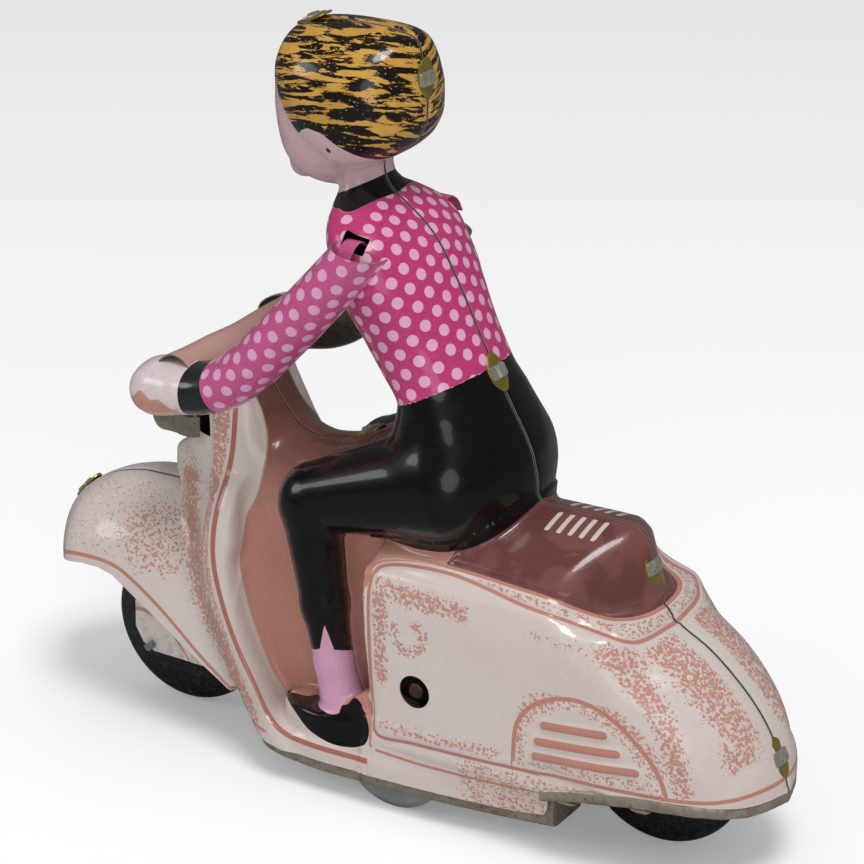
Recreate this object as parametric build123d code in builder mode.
from build123d import *
import os
from math import atan2, cos, hypot, pi, sin

# Clockwork tin scooter with a rider. Millimetres, +X forward, +Y the rider's left, +Z up.
# The origin lies on the floor under the middle of the toy's overall length.

# ---- driving dimensions ----
TIN = 0.5                     # thickness of the stamped sheet
SEAM_GAP = 0.1                # space between the two halves along the centre plane
CLEAR = 0.05                  # radial running clearance of a turning pair
SLOT_CLEAR = 0.15             # space around a tab in its slot

FLOOR_Z = 10.0                # lower edge of the shell along the footboard
BOARD_TOP_Z = 13.0            # top of the footboard
TAIL_Z = 17.0                 # lower edge of the shell around the tail
PAN_Z = 5.0                   # underside of the base pan
PAN_TOP_Z = 12.5              # top of the pan's upstand inside the shell
STEP_X = -48.0                # where the pan steps up to the tail

WHEEL_R = 19.0
WHEEL_HALF = 4.6
HUB_HALF = 6.0
FRONT_X = 57.5
REAR_X = -64.5
ROAD_AXLE_R = 0.9

DRIVE_X = -9.4
DRIVE_R = 13.3
DRIVE_NEAR_Y = 17.0
DRIVE_FAR_Y = 20.4
DRIVE_AXLE_R = 1.25

ARBOR_X = -17.5
ARBOR_Z = 31.5
ARBOR_R = 1.75
ARBOR_END_Y = 23.4
GROOVE_Y = 11.0               # ring groove outside the left plate, where the key end begins
GROOVE_W = 0.8
GROOVE_R = 1.35
KEY_HOLE_R = 3.7

MODULE = 0.6
GREAT_TEETH = 40
INTER_PINION_TEETH = 8
INTER_WHEEL_TEETH = 36
DRIVE_PINION_TEETH = 10
MESH_SLACK = 0.12             # added to each centre distance
GREAT_Y = 2.0                 # near faces of the gears
INTER_WHEEL_Y = -3.2
GEAR_T = 1.2

PLATE_Y = 10.0                # inner face of a motor plate
PLATE_T = 0.8
PILLAR_R = 1.6
TENON_R = 0.9
PILLARS = [(-31, 42), (5, 42), (-31, 10), (5, 11)]
FOOT_XS = [-28, 2]            # feet of the motor plates that fold under the pan
FOOT_W = 4.0

FORK_Y = 14.6                 # inner face of a fork cheek
BRACKET_Y = 7.2               # inner face of a rear axle bracket

ARM_Y = 21.4                  # open edge of an arm
ARM_TOP_Y = 30.0
ARM_TAB_X = -1.0
ARM_TAB_Z = 122.5

BAR_X = 41.5
BAR_Z = 88.6
BAR_R = 5.0
BAR_HALF = 25.0
BAR_TAB_Y = 6.0

LAMP_Z = 72.8
LAMP_R = 8.5
LAMP_BACK_X = 58.0
LAMP_FRONT_X = 66.5
WINDOW_X = 46.5
WINDOW_Z = 74.0

# side outline of the closed middle between the rider's legs
TUNNEL = [(-40, 11), (24, 11), (30, 40), (28, 73.2), (21.5, 72.9), (11.1, 75.3), (4, 79), (-20, 72), (-40, 60)]
TUNNEL_HALF = 12.5

# cowl, seat and tail: x, half width, top of the straight side, top of the seam
COWL = [
    (-4.5, 22.3, 50, 63),
    (-18, 23.2, 50, 66),
    (-34, 23.3, 50, 69.4),
    (-52, 23.0, 49, 69.8),
    (-57, 22.2, 47, 69.2),
    (-60.5, 21.6, 44, 64.5),
    (-62.5, 21.2, 42, 56.5),
    (-66.2, 20.5, 38, 51.9),
    (-75, 18.8, 34, 47.2),
    (-83.8, 15.2, 29, 40.3),
    (-88.6, 10.4, 24, 31.0),
    (-91.6, 5.2, 20, 24.0),
    (-92.6, 2.0, 18, 19.5),
]

# front mudguard: x, half width, lower edge, top of the straight side, top of the seam
FENDER = [
    (36, 17.5, 17, 30, 50),
    (44, 19.5, 23, 34, 52.5),
    (52, 20.3, 29, 37, 53.4),
    (60, 20.6, 34.5, 39, 53.9),
    (68, 20.4, 37, 40, 53.6),
    (75, 19.2, 36.5, 39, 52.2),
    (81, 17.2, 34, 37, 49.6),
    (85.5, 14.6, 31.5, 35, 45.8),
    (88.6, 11.8, 30, 33, 41.3),
    (91.2, 8.2, 28.5, 31, 36),
    (93, 4, 28, 29.5, 31),
]

# leg shield and steering column: height, then half of the level section from the rear seam
# round the edge of the shield, through the hollow beside the column, to the front seam
SHIELD = [
    (10, [(0, 0), (12, 23.4), (24.5, 22.5), (28.5, 15), (31.5, 8), (33, 0)]),
    (24, [(8, 0), (22, 22), (31.5, 22), (34.5, 15), (35.5, 8), (37, 0)]),
    (36, [(15, 0), (27, 21.5), (36.3, 21.5), (39, 15.5), (41.5, 10), (43, 0)]),
    (50, [(15, 0), (27, 21), (36.7, 21.3), (42.1, 15.5), (48, 10), (54, 0)]),
    (59, [(15, 0), (24.5, 21), (34.5, 21.3), (42, 15.5), (50, 9.5), (57.5, 0)]),
    (62.5, [(16, 0), (24, 21), (33.4, 21.3), (42, 15.5), (51, 9), (58.5, 0)]),
    (66, [(19, 0), (23.8, 20.9), (32.2, 21.2), (41.6, 15.3), (49, 8.8), (55, 0)]),
    (76, [(29.5, 0), (25, 20.5), (29.8, 21), (40, 15), (47, 8.6), (53, 0)]),
    (88, [(37.6, 0), (27.5, 18.5), (29.5, 19.5), (38.5, 13.5), (44.5, 8.5), (48.5, 0)]),
]

# plan of the body's lower edge, half: along the skirt under the cowl, then round the footboard
SKIRT_LOW = [(-48, 18.2), (-36.5, 20.6), (-20.5, 22.3), (-4.5, 23.3)]
SKIRT_HIGH = [(-48, 22.6), (-36.5, 22.9), (-20.5, 22.9), (-4.5, 22.9)]
FOOTBOARD = [(-8, 23.1), (6, 24.2), (15, 23.6), (24.5, 20.5), (30, 13.5)]

# level sections of the rider: height, rear x, front x, half width
TORSO = [
    (62, -33, 4, 19.5),
    (72, -32.6, 3, 20.2),
    (81, -31.4, 0, 19.4),
    (90, -27, -2.2, 16.6),
    (97, -23, 2.4, 15.4),
    (104, -19.4, 7, 16.2),
    (112, -15.2, 10.8, 18.0),
    (119, -11.2, 12.3, 19.0),
    (125, -7, 13.0, 18.2),
    (129.5, -2, 13.2, 13.5),
    (132.5, 2.4, 13.2, 8.4),
    (136, 4.2, 13.6, 6.8),
    (142, 4.4, 14.4, 6.6),
]
HEAD = [
    (133.5, 9, 20, 4.5),
    (136.5, 4, 25, 9),
    (141, -0.5, 27.2, 12.6),
    (146, -4.8, 28.4, 14.6),
    (152, -6.2, 28.4, 15.0),
    (158, -5.2, 27.2, 14.0),
    (162.5, -3.6, 24.6, 11.4),
    (165.3, -1, 21.6, 8),
    (166.5, 3, 17.5, 4.5),
]

# side outlines of one leg in its black trousers, with the sock and the shoe
THIGH = [
    (-31, 66), (-21.6, 62.8), (-11.8, 61.5), (7.0, 60.1), (3.2, 51.6), (1.3, 43.9), (-0.9, 35.8),
    (-2.8, 24.8), (8, 21.8), (9.4, 33.5), (12.3, 42.2), (16.4, 57.6), (18.6, 68.6), (16.9, 71.8),
    (10.5, 76.3), (0.4, 82.4), (-11.9, 88), (-28, 80),
]
SHOE = [
    (-7, 11), (9, 11), (16.4, 19.6), (9, 22.5), (7, 28.5), (-7, 28.5),
]
FORK = [
    (40, 41.6), (40, 19), (42, 17.2), (50, 17.4), (57, 17.4), (60, 19), (62, 22.5), (61.8, 31), (66, 39), (64, 41.6),
]
PLATE = [(-34, 5.7), (8.5, 5.7), (8.5, 41), (4, 45.5), (-30, 45.5), (-34, 41)]

# stations down one arm: x, z, direction in degrees, half width, depth of the half-round section
ARM = [
    (-4.5, 128.2, -48, 3.2, 3.0),
    (-1.5, 124.8, -48, 6.2, 6.8),
    (5, 117.5, -48, 6.6, 8.0),
    (15, 106.5, -47, 6.6, 8.3),
    (25, 96.2, -42, 6.4, 8.3),
    (33, 90.8, -24, 6.2, 8.3),
    (39, 88.9, -8, 6.0, 8.4),
    (46, 88.4, -2, 6.5, 8.6),
    (51, 87.4, -10, 5.4, 7.6),
    (53.8, 86.3, -18, 3.0, 4.6),
]

# seam clips: x, z and the direction of the seam's outward normal in degrees
CLIPS = [
    (85.8, 46.1, 42),
    (20.6, 166.2, 66),
    (-6.7, 152.6, 180),
    (-23.5, 97.2, 151),
    (8.9, 76.9, 62.5),
    (-61.5, 62.2, 166),
    (-90.4, 27.7, 157),
]


def yz_plane(x):
    """Upright plane across the toy at x, drawn in (y, z)."""
    return Plane(origin=(x, 0, 0), x_dir=(0, 1, 0), z_dir=(1, 0, 0))


def side_plane(y):
    """Upright plane along the toy at y, drawn in (x, z), facing the rider's right."""
    return Plane.XZ.offset(-y)


def side_slab(points, y_near, y_far, inset=0.0, taper=0.0):
    """A solid with the closed (x, z) outline as its side view, from y_near out to y_far."""
    with BuildPart() as slab:
        with BuildSketch(side_plane(y_near)):
            with BuildLine():
                Polyline(*points, close=True)
            make_face()
            if inset > 0:
                offset(amount=-inset, kind=Kind.INTERSECTION, mode=Mode.REPLACE)
        extrude(amount=y_near - y_far, taper=taper)
    return slab.part


def mirrored(part):
    """The part together with its mirror image across the seam plane."""
    with BuildPart() as pair:
        add(part)
        mirror(about=Plane.XZ)
    return pair.part


def arch_loft(stations):
    """Loft along x through arches: straight sides from the lower edge, then a half ellipse."""
    with BuildPart() as body:
        for x, half_width, z_low, z_side, z_top in stations:
            with BuildSketch(yz_plane(x)):
                with BuildLine():
                    Polyline((-half_width, z_side), (-half_width, z_low), (half_width, z_low), (half_width, z_side))
                    EllipticalCenterArc((0, z_side), half_width, z_top - z_side, start_angle=0, arc_size=180)
                make_face()
        loft(ruled=True)
    return body.part


def level_loft(sections):
    """Smooth loft upwards through level ellipses."""
    with BuildPart() as body:
        for z, x_rear, x_front, half_width in sections:
            with BuildSketch(Plane(origin=((x_rear + x_front) / 2, 0, z))):
                Ellipse((x_front - x_rear) / 2, half_width)
        loft()
    return body.part


def cowl_form(inset):
    stations = [[x, w - inset, TAIL_Z - 6 * inset, side, top - inset] for x, w, side, top in COWL]
    stations[0][0] -= inset
    stations[-1][0] += inset
    return arch_loft(stations)


def fender_form(inset):
    stations = [[x, w - inset, low - 8 * inset, side, top - inset] for x, w, low, side, top in FENDER]
    stations[0][0] += inset
    stations[-1][0] -= 2 * inset
    return arch_loft(stations)


def shield_form(inset):
    with BuildPart() as body:
        for z, half in SHIELD:
            outline = half + [(x, -y) for x, y in half[-2:0:-1]]
            if z == SHIELD[0][0]:
                level = z - 2 * inset
            elif z == SHIELD[-1][0]:
                level = z - inset
            else:
                level = z
            with BuildSketch(Plane.XY.offset(level)):
                with BuildLine():
                    Polyline(*outline, close=True)
                make_face()
                if inset > 0:
                    offset(amount=-inset, kind=Kind.INTERSECTION, mode=Mode.REPLACE)
        loft(ruled=True)
    return body.part


def plan_loft(low_z, low_half, high_z, high_half, inset):
    """Solid between two level outlines, each given by half of its plan."""
    with BuildPart() as body:
        for z, half in ((low_z, low_half), (high_z, high_half)):
            with BuildSketch(Plane.XY.offset(z)):
                with BuildLine():
                    Polyline(*half, *[(x, -y) for x, y in reversed(half)], close=True)
                make_face()
                if inset > 0:
                    offset(amount=-inset, kind=Kind.INTERSECTION, mode=Mode.REPLACE)
        loft(ruled=True)
    return body.part


def footboard_form(inset):
    return plan_loft(FLOOR_Z - 2 * inset, FOOTBOARD, BOARD_TOP_Z - inset, FOOTBOARD, inset)


def skirt_form(inset):
    """Lower body under the cowl; the hollow runs out through its rear end."""
    low, high = list(SKIRT_LOW), list(SKIRT_HIGH)
    if inset > 0:
        for half in (low, high):
            rear_x, rear_w = half[0]
            half.insert(0, (rear_x - 4 * inset, rear_w - inset))
    return plan_loft(FLOOR_Z - 2 * inset, low, TAIL_Z + 1, high, inset)


def tunnel_form(inset):
    """The closed middle of the body between the rider's legs."""
    half = TUNNEL_HALF - inset
    return side_slab(TUNNEL, -half, half, inset=inset)


def leg_form(inset):
    with BuildPart() as leg:
        add(side_slab(THIGH, 9, 21.6 - inset, inset=inset, taper=12))
        add(side_slab(SHOE, 9, 22.2 - inset, inset=inset, taper=4))
    return mirrored(leg.part)


def shrunk(section, inset):
    _, rear, front, half_width = section
    return rear + inset, front - inset, half_width - inset


def body_form(inset):
    """Everything that the two stamped halves enclose; with an inset, the space inside the sheet."""
    torso = [(section[0], *shrunk(section, inset)) for section in TORSO]
    head = [(section[0], *shrunk(section, inset)) for section in HEAD]
    head[0] = (HEAD[0][0] + inset, *head[0][1:])
    head[-1] = (HEAD[-1][0] - inset, *head[-1][1:])
    with BuildPart() as body:
        add(cowl_form(inset))
        add(tunnel_form(inset))
        add(footboard_form(inset))
        add(skirt_form(inset))
        add(shield_form(inset))
        add(fender_form(inset))
        add(leg_form(inset))
        add(level_loft(torso))
        add(level_loft(head))
    return body.part


def shell_halves():
    """The stamped body, cut along the seam plane into its left and right halves."""
    outer = body_form(0)
    hollow = body_form(TIN)
    with BuildPart() as body:
        add(outer)
        add(hollow, mode=Mode.SUBTRACT)
        # slots in the shoulders for the arm tabs
        with BuildSketch(side_plane(30)):
            with Locations((ARM_TAB_X, ARM_TAB_Z)):
                Rectangle(6, 1.6)
        extrude(amount=60, mode=Mode.SUBTRACT)
        # windows beside the lamp, where its straps go in
        with BuildSketch(side_plane(30)):
            with Locations((WINDOW_X, WINDOW_Z)):
                Rectangle(5.4, 6.4)
        extrude(amount=60, mode=Mode.SUBTRACT)

    with BuildPart() as left_shell:
        add(body.part)
        split(bisect_by=side_plane(SEAM_GAP / 2), keep=Keep.BOTTOM)
        with BuildSketch(side_plane(30)):
            with Locations((ARBOR_X, ARBOR_Z)):
                Circle(KEY_HOLE_R)
        extrude(amount=15, mode=Mode.SUBTRACT)
    with BuildPart() as right_shell:
        add(body.part)
        split(bisect_by=side_plane(-SEAM_GAP / 2), keep=Keep.TOP)

    left_shell.part.label = "left_shell"
    export_step(left_shell.part, "parts/left_shell.step")
    right_shell.part.label = "right_shell"
    export_step(right_shell.part, "parts/right_shell.step")


def arm_form(inset):
    """Half-round sleeve and hand; with an inset, the space inside the sheet."""
    with BuildPart() as body:
        for i, (x, z, degrees, half_width, depth) in enumerate(ARM):
            along = degrees * pi / 180
            end = inset if i == 0 else -inset if i == len(ARM) - 1 else 0
            origin = (x + end * cos(along), ARM_Y - inset, z + end * sin(along))
            # drawn with local x across the arm and local y outwards
            across = (-sin(along), 0, cos(along))
            with BuildSketch(Plane(origin=origin, x_dir=across, z_dir=(-cos(along), 0, -sin(along)))):
                with BuildLine():
                    EllipticalCenterArc((0, 0), half_width - inset, depth, start_angle=0, arc_size=180)
                    Line((-half_width + inset, 0), (half_width - inset, 0))
                make_face()
        loft(ruled=True)
    return body.part


def arms():
    """Half-round stamped arms, open towards the body, each held by a tab through the shoulder."""
    outer = arm_form(0)
    hollow = arm_form(TIN)
    tab = [
        (ARM_TAB_X - 2.5, ARM_TAB_Z - TIN / 2), (ARM_TAB_X + 2.5, ARM_TAB_Z - TIN / 2),
        (ARM_TAB_X + 2.5, ARM_TAB_Z + TIN / 2), (ARM_TAB_X - 2.5, ARM_TAB_Z + TIN / 2),
    ]
    with BuildPart() as root:
        add(side_slab(tab, ARM_Y, ARM_TOP_Y))
        add(outer, mode=Mode.INTERSECT)
    with BuildPart() as left_arm:
        add(outer)
        add(hollow, mode=Mode.SUBTRACT)
        add(root.part)
        add(side_slab(tab, 16.5, ARM_Y + TIN))
    with BuildPart() as right_arm:
        add(left_arm.part)
        mirror(about=Plane.XZ, mode=Mode.REPLACE)

    left_arm.part.label = "left_arm"
    export_step(left_arm.part, "parts/left_arm.step")
    right_arm.part.label = "right_arm"
    export_step(right_arm.part, "parts/right_arm.step")


def handlebar():
    """Half-round cover across the top of the column, and the two tabs that hold it."""
    with BuildPart() as bar:
        with BuildSketch(side_plane(BAR_HALF)):
            with Locations((BAR_X, BAR_Z)):
                Circle(BAR_R)
                Circle(BAR_R - TIN, mode=Mode.SUBTRACT)
            with Locations((BAR_X, BAR_Z - BAR_R)):
                Rectangle(4 * BAR_R, 2 * BAR_R, mode=Mode.SUBTRACT)
        extrude(amount=2 * BAR_HALF)
        with BuildSketch(Plane.XY.offset(BAR_Z)):
            with Locations((BAR_X, BAR_TAB_Y), (BAR_X, -BAR_TAB_Y)):
                Rectangle(3.4, 0.8)
        extrude(amount=2 * BAR_R, mode=Mode.SUBTRACT)
    bar.part.label = "handlebar"
    export_step(bar.part, "parts/handlebar.step")

    fold_z = BAR_Z + BAR_R + 0.1
    with BuildPart() as tabs:
        for side in (1, -1):
            with BuildSketch(Plane.XY.offset(BAR_Z - 0.5)):
                with Locations((BAR_X, side * BAR_TAB_Y)):
                    Rectangle(3, 0.4)
            extrude(amount=fold_z + 0.4 - BAR_Z + 0.5)
            with BuildSketch(Plane.XY.offset(fold_z)):
                with Locations((BAR_X, side * (BAR_TAB_Y - 1))):
                    Rectangle(3, 2.4)
            extrude(amount=0.4)
    tabs.part.label = "handlebar_tabs"
    export_step(tabs.part, "parts/handlebar_tabs.step")


def headlamp():
    """Round-backed lamp cup with a strap on each side that goes into the shell's windows."""
    with BuildPart() as cup:
        with BuildSketch(Plane.XZ):
            with BuildLine():
                Polyline(
                    (LAMP_BACK_X, LAMP_Z), (LAMP_BACK_X, LAMP_Z + LAMP_R - 3), (LAMP_BACK_X + 3, LAMP_Z + LAMP_R),
                    (LAMP_FRONT_X, LAMP_Z + LAMP_R), (LAMP_FRONT_X, LAMP_Z + LAMP_R - TIN),
                    (LAMP_BACK_X + 3, LAMP_Z + LAMP_R - TIN), (LAMP_BACK_X + TIN, LAMP_Z + LAMP_R - 3),
                    (LAMP_BACK_X + TIN, LAMP_Z), close=True,
                )
            make_face()
        revolve(axis=Axis((0, 0, LAMP_Z), (1, 0, 0)))
        for side in (1, -1):
            with BuildSketch(Plane.XY.offset(WINDOW_Z - 2.4)):
                with BuildLine():
                    Polyline(
                        (LAMP_BACK_X, side * 4.5), (LAMP_BACK_X + 0.4, side * 4.5), (LAMP_BACK_X + 0.4, side * 5.5),
                        (55, side * 10.4), (46.6, side * 10.4), (46.6, side * 10), (54.8, side * 10),
                        (LAMP_BACK_X, side * 5.2), close=True,
                    )
                make_face()
            extrude(amount=4.8)
    cup.part.label = "headlamp_cup"
    export_step(cup.part, "parts/headlamp_cup.step")


def front_fork():
    """Printed bracket inside the mudguard: two cheeks and the bridge that joins them."""
    bridge = [(40, 41.1), (64.3, 41.1), (64, 41.6), (40, 41.6)]
    with BuildPart() as fork:
        add(mirrored(side_slab(FORK, FORK_Y, FORK_Y + TIN)))
        add(side_slab(bridge, -FORK_Y - TIN, FORK_Y + TIN))
        with BuildSketch(side_plane(FORK_Y + 5)):
            with Locations((FRONT_X, WHEEL_R)):
                Circle(ROAD_AXLE_R + 0.02)
        extrude(amount=2 * FORK_Y + 10, mode=Mode.SUBTRACT)
    fork.part.label = "front_fork"
    export_step(fork.part, "parts/front_fork.step")


def pan_plan(inset):
    """Half plan of the pan's deep middle, inside the shell's lower edge."""
    front_x, front_w = FOOTBOARD[-1]
    sides = [(x, w - inset) for x, w in SKIRT_LOW[:-1] + FOOTBOARD[:-1]]
    return sides + [(front_x - 4 * inset, front_w - inset)]


def base_pan():
    """Tray under the footboard with a raised, rimmed tail around the rear wheel."""
    fit = TIN + 0.35
    tail_edge = [(STEP_X, 23.2)] + [(x, w) for x, w, _, _ in COWL if x < STEP_X]
    tail_plan = tail_edge + [(x, -w) for x, w in reversed(tail_edge)]
    with BuildPart() as pan:
        # deep middle
        with BuildSketch(Plane.XY.offset(PAN_Z)):
            with BuildLine():
                Polyline(*pan_plan(fit), *[(x, -y) for x, y in reversed(pan_plan(fit))], close=True)
            make_face()
        extrude(amount=PAN_TOP_Z - PAN_Z)
        with BuildSketch(Plane.XY.offset(PAN_Z + TIN)):
            with BuildLine():
                Polyline(*pan_plan(fit), *[(x, -y) for x, y in reversed(pan_plan(fit))], close=True)
            make_face()
            offset(amount=-TIN, kind=Kind.INTERSECTION, mode=Mode.REPLACE)
        extrude(amount=PAN_TOP_Z, mode=Mode.SUBTRACT)
        # riser up to the tail
        with BuildSketch(yz_plane(STEP_X)):
            with Locations((0, (PAN_Z + TAIL_Z) / 2)):
                Rectangle(2 * (SKIRT_LOW[0][1] - fit), TAIL_Z - PAN_Z - 0.1)
        extrude(amount=TIN)
        # tail plate with its turned-down rim
        with BuildSketch(Plane.XY.offset(TAIL_Z - 0.65)):
            with BuildLine():
                Polyline(*tail_plan, close=True)
            make_face()
            offset(amount=0.4, kind=Kind.INTERSECTION, mode=Mode.REPLACE)
        extrude(amount=0.6)
        with BuildSketch(Plane.XY.offset(TAIL_Z - 2.6)):
            with BuildLine():
                Polyline(*tail_plan, close=True)
            make_face()
            offset(amount=0.4, kind=Kind.INTERSECTION, mode=Mode.REPLACE)
            with BuildLine():
                Polyline(*tail_plan, close=True)
            make_face(mode=Mode.SUBTRACT)
            with Locations((STEP_X + 2, 0)):
                Rectangle(4.2, 50, mode=Mode.SUBTRACT)
        extrude(amount=2.2)
        # slot for the rear wheel, notching the riser
        with BuildSketch(Plane.XY.offset(PAN_Z + 3)):
            with Locations((REAR_X, 0)):
                Rectangle(2 * WHEEL_R + 2.4, 2 * HUB_HALF + 0.4)
        extrude(amount=TAIL_Z, mode=Mode.SUBTRACT)
        # slots for the drive wheels and for the motor's feet
        with BuildSketch(Plane.XY.offset(PAN_Z - 1)):
            for side in (1, -1):
                with Locations((DRIVE_X, side * (DRIVE_NEAR_Y + DRIVE_FAR_Y) / 2)):
                    Rectangle(23, DRIVE_FAR_Y - DRIVE_NEAR_Y + 0.8)
                with Locations(*[(x, side * (PLATE_Y + PLATE_T / 2)) for x in FOOT_XS]):
                    Rectangle(FOOT_W + 2 * SLOT_CLEAR, PLATE_T + 2 * SLOT_CLEAR)
        extrude(amount=2, mode=Mode.SUBTRACT)
    pan.part.label = "base_pan"
    export_step(pan.part, "parts/base_pan.step")

    with BuildPart() as tabs:
        for x, y in ((-70, 19.6), (-70, -19.6), (-54, 22.6), (-54, -22.6)):
            with BuildSketch(Plane.XY.offset(TAIL_Z - 3.05)):
                with Locations((x, y - 1.2 if y > 0 else y + 1.2)):
                    Rectangle(4.4, 3)
            extrude(amount=0.4)
    tabs.part.label = "pan_tabs"
    export_step(tabs.part, "parts/pan_tabs.step")


def seam_clips():
    """Oval washers over the seam, each with the folded tab of one half through its slot."""
    frames = []
    for x, z, degrees in CLIPS:
        angle = degrees * pi / 180
        normal = (cos(angle), 0, sin(angle))
        frames.append(Plane(origin=(x, 0, z), x_dir=(-sin(angle), 0, cos(angle)), z_dir=normal))
    with BuildPart() as washers:
        for frame in frames:
            with BuildSketch(frame):
                Ellipse(4.2, 2.9)
                Rectangle(3.4, 0.8, mode=Mode.SUBTRACT)
            extrude(amount=0.35)
    with BuildPart() as tabs:
        for frame in frames:
            with BuildSketch(frame):
                Rectangle(3, 0.4)
            extrude(amount=0.75)
            with BuildSketch(frame.offset(0.4)):
                Rectangle(3, 4.6)
            extrude(amount=0.35)
    washers.part.label = "seam_washers"
    export_step(washers.part, "parts/seam_washers.step")
    tabs.part.label = "seam_tabs"
    export_step(tabs.part, "parts/seam_tabs.step")


def spun(x, z, profile):
    """Solid of revolution about the crosswise axis at (x, z), from an (axial, radial) outline."""
    with BuildPart() as body:
        with BuildSketch(Plane(origin=(x, 0, z), x_dir=(0, 1, 0), z_dir=(1, 0, 0))):
            with BuildLine():
                Polyline(*profile, close=True)
            make_face()
        revolve(axis=Axis((x, 0, z), (0, 1, 0)))
    return body.part


def rod(x, z, radius, y_from, y_to):
    """Round crosswise rod."""
    with BuildPart() as body:
        with BuildSketch(Plane(origin=(x, y_from, z), x_dir=(1, 0, 0), z_dir=(0, 1, 0))):
            Circle(radius)
        extrude(amount=y_to - y_from)
    return body.part


def road_wheel(x):
    """Smooth domed wheel with a hub tube that turns on its wire axle."""
    bore = ROAD_AXLE_R + CLEAR
    dome = [
        (WHEEL_HALF * cos(pi / 2 * i / 6), WHEEL_R - 6 + 6 * sin(pi / 2 * i / 6))
        for i in range(7)
    ]
    right = [(-y, r) for y, r in reversed(dome[:-1])]
    with BuildPart() as wheel:
        add(spun(x, WHEEL_R, [
            (HUB_HALF, bore), (HUB_HALF, 2.2), (WHEEL_HALF + 0.6, 2.6), (WHEEL_HALF + 0.4, 9),
            *dome, *right, (-WHEEL_HALF - 0.4, 9), (-WHEEL_HALF - 0.6, 2.6), (-HUB_HALF, 2.2), (-HUB_HALF, bore),
        ]))
    return wheel.part


def road_wheels():
    for name, x in (("front_wheel", FRONT_X), ("rear_wheel", REAR_X)):
        with BuildPart() as wheel:
            add(road_wheel(x))
        wheel.part.label = name
        export_step(wheel.part, f"parts/{name}.step")
    for name, x, reach in (("front_axle", FRONT_X, FORK_Y + 2.4), ("rear_axle", REAR_X, BRACKET_Y + 1.8)):
        with BuildPart() as axle:
            add(rod(x, WHEEL_R, ROAD_AXLE_R, -reach, reach))
        axle.part.label = name
        export_step(axle.part, f"parts/{name}.step")


def rear_brackets():
    """Angle brackets on the tail plate that hold the rear axle's ends."""
    foot_z = TAIL_Z
    cheek = [(REAR_X - 4, foot_z), (REAR_X + 4, foot_z), (REAR_X + 2.4, WHEEL_R + 3), (REAR_X - 2.4, WHEEL_R + 3)]
    foot = [(REAR_X - 4, foot_z), (REAR_X + 4, foot_z), (REAR_X + 4, foot_z + 0.6), (REAR_X - 4, foot_z + 0.6)]
    with BuildPart() as left_bracket:
        add(side_slab(cheek, BRACKET_Y, BRACKET_Y + 0.6))
        add(side_slab(foot, BRACKET_Y, BRACKET_Y + 5))
        with BuildSketch(side_plane(BRACKET_Y + 2)):
            with Locations((REAR_X, WHEEL_R)):
                Circle(ROAD_AXLE_R + 0.02)
        extrude(amount=4, mode=Mode.SUBTRACT)
    with BuildPart() as right_bracket:
        add(left_bracket.part)
        mirror(about=Plane.XZ, mode=Mode.REPLACE)
    left_bracket.part.label = "rear_bracket_left"
    export_step(left_bracket.part, "parts/rear_bracket_left.step")
    right_bracket.part.label = "rear_bracket_right"
    export_step(right_bracket.part, "parts/rear_bracket_right.step")


def drive_set():
    """Drive axle with its pinion and the two side wheels that push the toy along."""
    reach = DRIVE_FAR_Y + 0.4
    with BuildPart() as axle:
        add(rod(DRIVE_X, DRIVE_R, DRIVE_AXLE_R, -reach, reach))
    axle.part.label = "drive_axle"
    export_step(axle.part, "parts/drive_axle.step")

    bore = DRIVE_AXLE_R + 0.01
    profile = [
        (PLATE_Y + PLATE_T + 0.6, bore), (PLATE_Y + PLATE_T + 0.6, 2.6), (DRIVE_NEAR_Y, 3.2),
        (DRIVE_NEAR_Y, DRIVE_R - 1.2), (DRIVE_NEAR_Y + 0.6, DRIVE_R), (DRIVE_FAR_Y - 0.9, DRIVE_R),
        (DRIVE_FAR_Y, DRIVE_R - 1.4), (DRIVE_FAR_Y, bore),
    ]
    with BuildPart() as left_wheel:
        add(spun(DRIVE_X, DRIVE_R, profile))
    with BuildPart() as right_wheel:
        add(left_wheel.part)
        mirror(about=Plane.XZ, mode=Mode.REPLACE)
    left_wheel.part.label = "drive_wheel_left"
    export_step(left_wheel.part, "parts/drive_wheel_left.step")
    right_wheel.part.label = "drive_wheel_right"
    export_step(right_wheel.part, "parts/drive_wheel_right.step")


def gear(x, z, teeth, phase, y_from, width, bore):
    """Spur gear with straight-flanked teeth; one tooth points in the direction phase, in the (x, z) view."""
    pitch_r = MODULE * teeth / 2
    root_r = pitch_r - 1.15 * MODULE
    tip_r = pitch_r + 0.9 * MODULE
    pitch = 2 * pi / teeth
    outline = []
    for i in range(teeth):
        for radius, offset_share in ((root_r, -0.27), (tip_r, -0.1), (tip_r, 0.1), (root_r, 0.27)):
            angle = phase + pitch * (i + offset_share)
            outline.append((radius * cos(angle), radius * sin(angle)))
    with BuildPart() as wheel:
        with BuildSketch(Plane(origin=(x, y_from + width, z), x_dir=(1, 0, 0), z_dir=(0, -1, 0))):
            with BuildLine():
                Polyline(*outline, close=True)
            make_face()
            Circle(bore, mode=Mode.SUBTRACT)
        extrude(amount=width)
    return wheel.part


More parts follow.
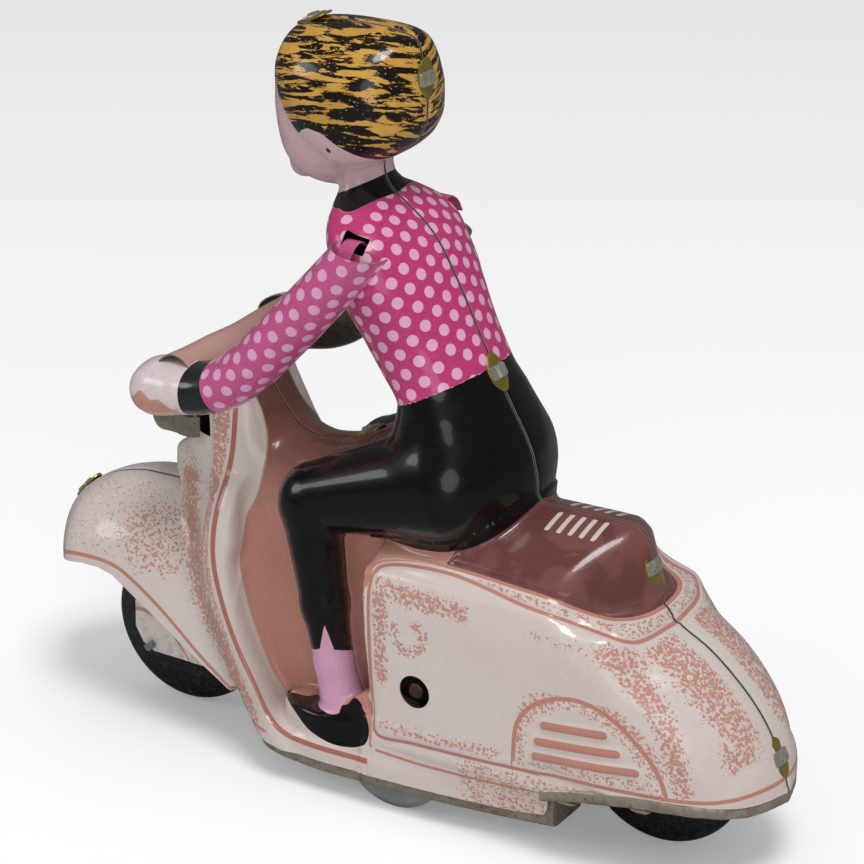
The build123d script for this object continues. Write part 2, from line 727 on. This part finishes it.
def train_layout():
    """Centre of the intermediate arbor and the directions from it to its two neighbours."""
    to_great = MODULE * (GREAT_TEETH + INTER_PINION_TEETH) / 2 + MESH_SLACK
    to_drive = MODULE * (INTER_WHEEL_TEETH + DRIVE_PINION_TEETH) / 2 + MESH_SLACK
    across = hypot(DRIVE_X - ARBOR_X, DRIVE_R - ARBOR_Z)
    ux, uz = (DRIVE_X - ARBOR_X) / across, (DRIVE_R - ARBOR_Z) / across
    along = (to_great**2 - to_drive**2 + across**2) / (2 * across)
    aside = (to_great**2 - along**2) ** 0.5
    x = ARBOR_X + ux * along - uz * aside
    z = ARBOR_Z + uz * along + ux * aside
    great_angle = atan2(ARBOR_Z - z, ARBOR_X - x)
    drive_angle = atan2(DRIVE_R - z, DRIVE_X - x)
    return x, z, great_angle, drive_angle


def gear_train():
    inter_x, inter_z, great_angle, drive_angle = train_layout()
    half_step = pi / INTER_PINION_TEETH
    pieces = {
        "great_wheel": gear(
            ARBOR_X, ARBOR_Z, GREAT_TEETH, great_angle + pi, GREAT_Y, GEAR_T, ARBOR_R + CLEAR),
        "intermediate_pinion": gear(
            inter_x, inter_z, INTER_PINION_TEETH, great_angle + half_step, GREAT_Y - 0.6, GEAR_T + 1.2, 1.01),
        "intermediate_wheel": gear(
            inter_x, inter_z, INTER_WHEEL_TEETH, drive_angle, INTER_WHEEL_Y, GEAR_T, 1.01),
        "drive_pinion": gear(
            DRIVE_X, DRIVE_R, DRIVE_PINION_TEETH, drive_angle + pi + pi / DRIVE_PINION_TEETH,
            INTER_WHEEL_Y - 0.6, GEAR_T + 1.2, DRIVE_AXLE_R + 0.01),
        "intermediate_arbor": rod(inter_x, inter_z, 1.0, -PLATE_Y - PLATE_T - 0.4, PLATE_Y + PLATE_T + 0.4),
    }
    for name, piece in pieces.items():
        with BuildPart() as wheel:
            add(piece)
        wheel.part.label = name
        export_step(wheel.part, f"parts/{name}.step")


def winding_arbor():
    """Arbor that the key turns, its ratchet wheel, and the click on the great wheel."""
    with BuildPart() as arbor:
        add(rod(ARBOR_X, ARBOR_Z, ARBOR_R, -PLATE_Y - PLATE_T - 0.4, ARBOR_END_Y))
        chamfer(arbor.edges().sort_by(Axis.Y)[-1], 0.35)
        with BuildSketch(side_plane(GROOVE_Y)):
            with Locations((ARBOR_X, ARBOR_Z)):
                Circle(ARBOR_R + 1)
                Circle(GROOVE_R, mode=Mode.SUBTRACT)
        extrude(amount=-GROOVE_W, mode=Mode.SUBTRACT)
    arbor.part.label = "winding_arbor"
    export_step(arbor.part, "parts/winding_arbor.step")

    teeth = 12
    saw = []
    for i in range(teeth):
        start = 2 * pi * i / teeth
        saw.append((3.4 * cos(start), 3.4 * sin(start)))
        saw.append((2.6 * cos(start + 0.06), 2.6 * sin(start + 0.06)))
    with BuildPart() as ratchet:
        with BuildSketch(Plane(origin=(ARBOR_X, GREAT_Y - 0.3, ARBOR_Z), x_dir=(1, 0, 0), z_dir=(0, -1, 0))):
            with BuildLine():
                Polyline(*saw, close=True)
            make_face()
            Circle(ARBOR_R + 0.01, mode=Mode.SUBTRACT)
        extrude(amount=1)
    ratchet.part.label = "ratchet_wheel"
    export_step(ratchet.part, "parts/ratchet_wheel.step")

    with BuildPart() as click:
        with BuildSketch(Plane(origin=(ARBOR_X, GREAT_Y, ARBOR_Z), x_dir=(1, 0, 0), z_dir=(0, -1, 0))):
            with BuildLine():
                Polyline((3.6, -0.4), (4.4, -1.2), (7, 2.4), (7.2, 4.6), (5.8, 5.2), (5, 3.2), close=True)
            make_face()
        extrude(amount=0.9)
    click.part.label = "click"
    export_step(click.part, "parts/click.step")


def mainspring():
    """Spiral of half-round turns, ending in a short straight tail."""
    step = 0.25
    start_r = 2.6
    half_turns = 16
    strip = 0.3
    tail = 0.6
    y_near, y_far = 4.2, 9.4
    spiral_plane = Plane(origin=(ARBOR_X, y_far, ARBOR_Z), x_dir=(1, 0, 0), z_dir=(0, -1, 0))

    def half_turn(i, shift):
        centre = -step if i % 2 == 0 else step
        radius = start_r + 2 * step * i + shift
        return centre, radius, 0 if i % 2 == 0 else 180

    with BuildPart() as spring:
        for i in range(half_turns):
            centre, radius, start = half_turn(i, 0)
            with BuildSketch(spiral_plane):
                with BuildLine():
                    inner = CenterArc((centre, 0), radius, start, 180)
                    outer = CenterArc((centre, 0), radius + strip, start, 180)
                    Line(inner @ 0, outer @ 0)
                    Line(inner @ 1, outer @ 1)
                make_face()
            extrude(amount=y_far - y_near)
        # tail, tangent to the last half turn
        end_x = start_r + 2 * step * half_turns - step
        with BuildSketch(spiral_plane):
            with BuildLine():
                Polyline((end_x, 0), (end_x + strip, 0), (end_x + strip, tail), (end_x, tail), close=True)
            make_face()
        extrude(amount=y_far - y_near)
    spring.part.label = "mainspring"
    export_step(spring.part, "parts/mainspring.step")


def motor_frame():
    """Two motor plates with folded feet, and the pillars riveted between them."""
    inter_x, inter_z, _, _ = train_layout()
    bearings = [
        (ARBOR_X, ARBOR_Z, ARBOR_R + CLEAR),
        (inter_x, inter_z, 1.0 + CLEAR),
        (DRIVE_X, DRIVE_R, DRIVE_AXLE_R + CLEAR),
    ]
    far = PLATE_Y + PLATE_T
    with BuildPart() as left_plate:
        add(side_slab(PLATE, PLATE_Y, far))
        for x in FOOT_XS:
            add(side_slab([(x - 2, 4.45), (x + 2, 4.45), (x + 2, 6), (x - 2, 6)], PLATE_Y, far))
            add(side_slab([(x - 2, 4.45), (x + 2, 4.45), (x + 2, 4.85), (x - 2, 4.85)], PLATE_Y, far + 2))
        with BuildSketch(side_plane(far + 1)):
            for x, z, radius in bearings:
                with Locations((x, z)):
                    Circle(radius)
            with Locations(*PILLARS):
                Circle(TENON_R + 0.02)
        extrude(amount=3, mode=Mode.SUBTRACT)
    with BuildPart() as right_plate:
        add(left_plate.part)
        mirror(about=Plane.XZ, mode=Mode.REPLACE)
    left_plate.part.label = "motor_plate_left"
    export_step(left_plate.part, "parts/motor_plate_left.step")
    right_plate.part.label = "motor_plate_right"
    export_step(right_plate.part, "parts/motor_plate_right.step")

    with BuildPart() as pillars:
        for x, z in PILLARS:
            add(rod(x, z, PILLAR_R, -PLATE_Y, PLATE_Y))
            add(rod(x, z, TENON_R, -far - 0.1, far + 0.1))
            add(rod(x, z, PILLAR_R, far + 0.05, far + 0.45))
            add(rod(x, z, PILLAR_R, -far - 0.45, -far - 0.05))
    pillars.part.label = "motor_pillars"
    export_step(pillars.part, "parts/motor_pillars.step")


os.makedirs("parts", exist_ok=True)
shell_halves()
arms()
handlebar()
headlamp()
front_fork()
base_pan()
seam_clips()
road_wheels()
rear_brackets()
drive_set()
gear_train()
winding_arbor()
mainspring()
motor_frame()
